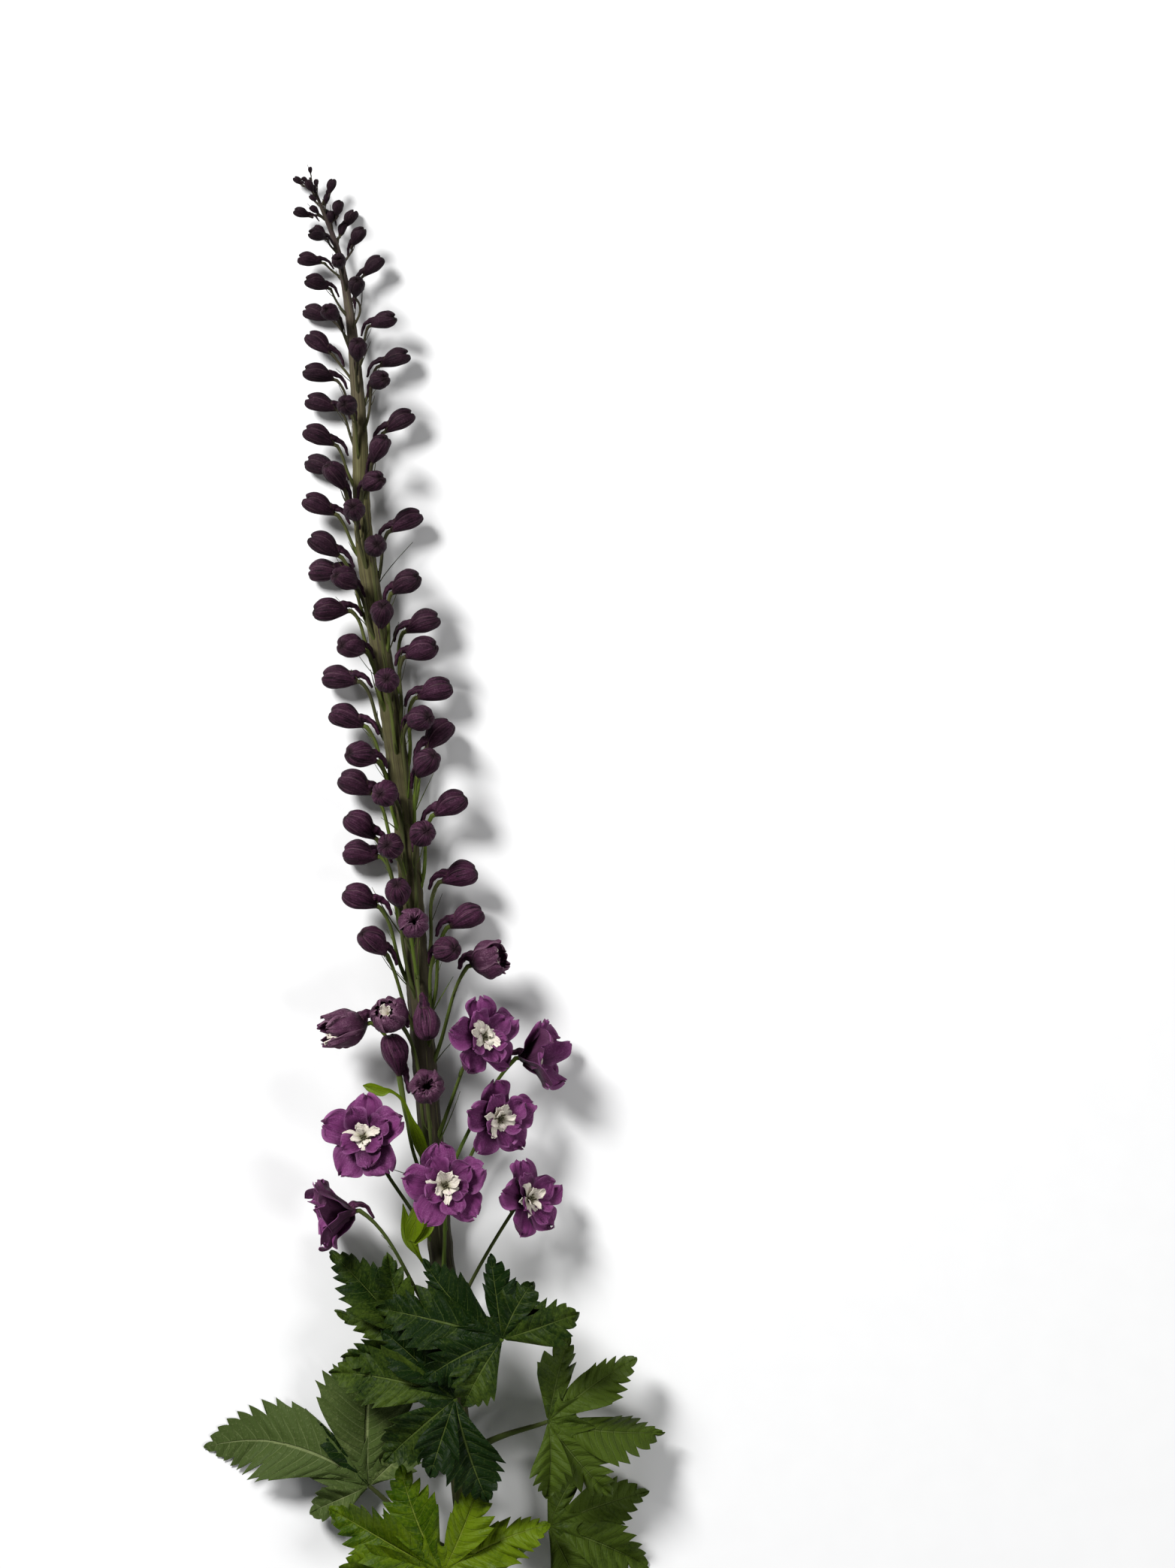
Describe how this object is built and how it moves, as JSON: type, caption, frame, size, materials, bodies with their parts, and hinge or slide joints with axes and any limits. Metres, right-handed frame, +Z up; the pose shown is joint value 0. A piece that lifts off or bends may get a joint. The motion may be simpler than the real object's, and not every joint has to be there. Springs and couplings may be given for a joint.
{
  "type": "delphinium flower spike",
  "caption": "Cut delphinium flower spike lying flat: dark buds towards the tip, open purple blooms with white centres below them, palmate leaves on the stem.",
  "frame": {"origin": "centre of the whole flower's bounding box in X and Y, on the surface that it lies on", "axes": "+Y along the spike towards its tip, +X to the right seen from above, +Z up from the surface"},
  "size_m": [0.2449, 0.8012, 0.0622],
  "materials": {
    "stem_green": "soft, slightly downy, olive green turning brownish towards the tip",
    "tip_purple": "matt, near-black purple",
    "bud_purple": "soft satin, dark purple with fine paler veins",
    "petal_purple": "soft satin, red-purple with fine darker veins",
    "bee_white": "matt, cream white",
    "leaf_green": "soft satin, dark green above and paler beneath, with sunken veins",
    "bract_green": "soft satin, bright yellow-green"
  },
  "bodies": {
    "root": {"stem": "stem_green", "spike_tip": "tip_purple", "bud_36": "bud_purple", "bud_37": "bud_purple", "bud_38": "bud_purple", "bud_39": "bud_purple", "bud_40": "bud_purple", "bud_41": "bud_purple", "bud_42": "bud_purple", "bud_43": "bud_purple", "bud_44": "bud_purple", "bud_45": "bud_purple", "bud_46": "bud_purple", "bud_47": "bud_purple", "bud_48": "bud_purple", "bud_49": "bud_purple", "bud_50": "bud_purple", "bud_51": "bud_purple", "bud_52": "bud_purple", "bud_53": "bud_purple", "bud_54": "bud_purple", "bud_55": "bud_purple", "bud_56": "bud_purple", "bud_57": "bud_purple", "bud_58": "bud_purple", "bud_59": "bud_purple", "bud_60": "bud_purple", "bud_61": "bud_purple", "bud_62": "bud_purple", "bud_63": "bud_purple", "opening_bud_front": "bud_purple", "opening_bud_right": "bud_purple", "opening_bud_left": "bud_purple", "opening_bud_cup": "bud_purple", "opening_bud_low": "bud_purple", "rising_bud": "bud_purple", "nodding_bud": "bud_purple", "bloom_left": "petal_purple", "bloom_side": "petal_purple", "bloom_upper_right": "petal_purple", "bloom_deep_right": "petal_purple", "bloom_middle_right": "petal_purple", "bloom_front": "petal_purple", "bloom_lower_right": "petal_purple", "bee_left": "bee_white", "bee_side": "bee_white", "bee_upper_right": "bee_white", "bee_deep_right": "bee_white", "bee_middle_right": "bee_white", "bee_front": "bee_white", "bee_lower_right": "bee_white", "leaf_left_pale": "leaf_green", "leaf_bright": "leaf_green", "leaf_dark": "leaf_green", "leaf_curled": "leaf_green", "leaf_upper_left": "leaf_green", "leaf_right": "leaf_green", "leaf_low_right": "leaf_green", "bract_cut": "bract_green", "bract_hooked": "bract_green"}
  },
  "joints": []
}
